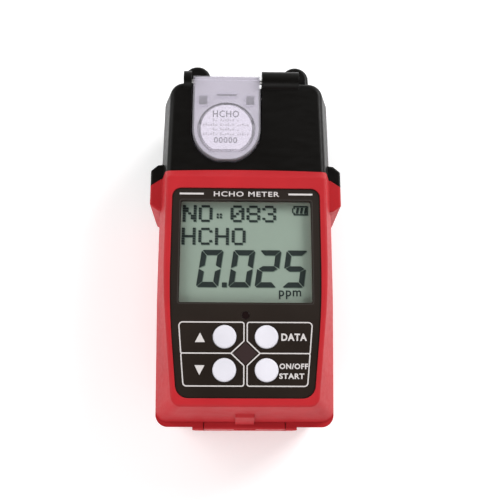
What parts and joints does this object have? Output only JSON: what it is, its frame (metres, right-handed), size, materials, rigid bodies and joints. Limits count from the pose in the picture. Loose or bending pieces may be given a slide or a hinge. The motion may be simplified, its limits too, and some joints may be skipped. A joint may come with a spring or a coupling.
{
  "type": "handheld gas meter",
  "caption": "Handheld formaldehyde meter with a red case, black sensor head, frosted flip-up sensor holder, large display, round keys, battery door and end flap.",
  "frame": {"origin": "middle of the bounding box, on the plane of the back that the meter lies on", "axes": "+Z out of the front panel, +Y toward the sensor head, +X to the right of the display"},
  "size_m": [0.082, 0.158, 0.057],
  "materials": {
    "red_case": "injection moulded ABS, satin",
    "black_case": "injection moulded ABS, soft gloss",
    "panel_black": "printed overlay",
    "clear_window": "clear acrylic",
    "lcd_glass": "reflective display glass",
    "white_frame": "moulded",
    "dark_rubber": "layered contact rubber",
    "white_key": "moulded",
    "black_small": "moulded",
    "switch_metal": "stamped",
    "smoked_lens": "smoked acrylic",
    "green_board": "solder mask",
    "steel": "turned",
    "led_clear": "clear epoxy",
    "ribbon": "flat cable",
    "frosted_holder": "frosted, translucent",
    "white_element": "printed label on white plastic",
    "porous_glass": "porous, milky",
    "black_screw": "black oxide",
    "cell_jacket": "plastic jacket",
    "plated_spring": "nickel plated"
  },
  "bodies": {
    "base": {"front_shell": "red_case", "rear_shell": "red_case", "head_front_shell": "black_case", "head_rear_shell": "black_case", "face_panel": "panel_black", "display_lens": "clear_window", "lcd_glass": "lcd_glass", "lcd_frame": "white_frame", "zebra_strip": "dark_rubber", "lcd_backlight": "white_frame", "switch_bodies": "switch_metal", "indicator_lens": "smoked_lens", "indicator_led": "white_frame", "main_pcb": "green_board", "pcb_screws": "steel", "pcb_chips": "black_small", "buzzer": "black_small", "optical_block": "black_small", "emitter_led": "led_clear", "photodiode": "black_small", "sensor_board": "green_board", "head_ribbon": "ribbon", "holder_pin": "steel", "holder_detent": "steel", "case_screws": "black_screw", "head_screws": "black_screw", "joint_screws": "steel", "battery_tray": "black_small", "cell_1": "cell_jacket", "cell_2": "cell_jacket", "cell_3": "cell_jacket", "cell_4": "cell_jacket", "battery_springs": "plated_spring", "battery_contacts": "plated_spring", "flap_pin": "steel", "io_board": "green_board", "usb_socket": "plated_spring", "dc_jack": "black_small"},
    "holder": {"sensor_holder": "frosted_holder", "sensor_element": "white_element", "element_window": "porous_glass"},
    "flap": {"end_flap": "red_case"},
    "door": {"battery_door": "red_case"},
    "key_up": {"button_up": "white_key", "plunger_up": "black_small"},
    "key_down": {"button_down": "white_key", "plunger_down": "black_small"},
    "key_data": {"button_data": "white_key", "plunger_data": "black_small"},
    "key_power": {"button_power": "white_key", "plunger_power": "black_small"}
  },
  "joints": [
    {"name": "holder_hinge", "type": "hinge", "parent": "base", "child": "holder", "pos_m": [-0.0085, 0.0687, 0.0515], "axis": [-1, 0, 0], "range_deg": [0, 110]},
    {"name": "flap_hinge", "type": "hinge", "parent": "base", "child": "flap", "pos_m": [0, -0.0768, 0.0086], "axis": [1, 0, 0], "range_deg": [0, 95]},
    {"name": "door_slide", "type": "slide", "parent": "base", "child": "door", "axis": [0, -1, 0], "range_m": [0, 0.074]},
    {"name": "key_up_press", "type": "slide", "parent": "base", "child": "key_up", "axis": [0, 0, -1], "range_m": [0, 0.0006], "stiffness_N_per_m": 1200},
    {"name": "key_down_press", "type": "slide", "parent": "base", "child": "key_down", "axis": [0, 0, -1], "range_m": [0, 0.0006], "stiffness_N_per_m": 1200},
    {"name": "key_data_press", "type": "slide", "parent": "base", "child": "key_data", "axis": [0, 0, -1], "range_m": [0, 0.0006], "stiffness_N_per_m": 1200},
    {"name": "key_power_press", "type": "slide", "parent": "base", "child": "key_power", "axis": [0, 0, -1], "range_m": [0, 0.0006], "stiffness_N_per_m": 1200}
  ]
}
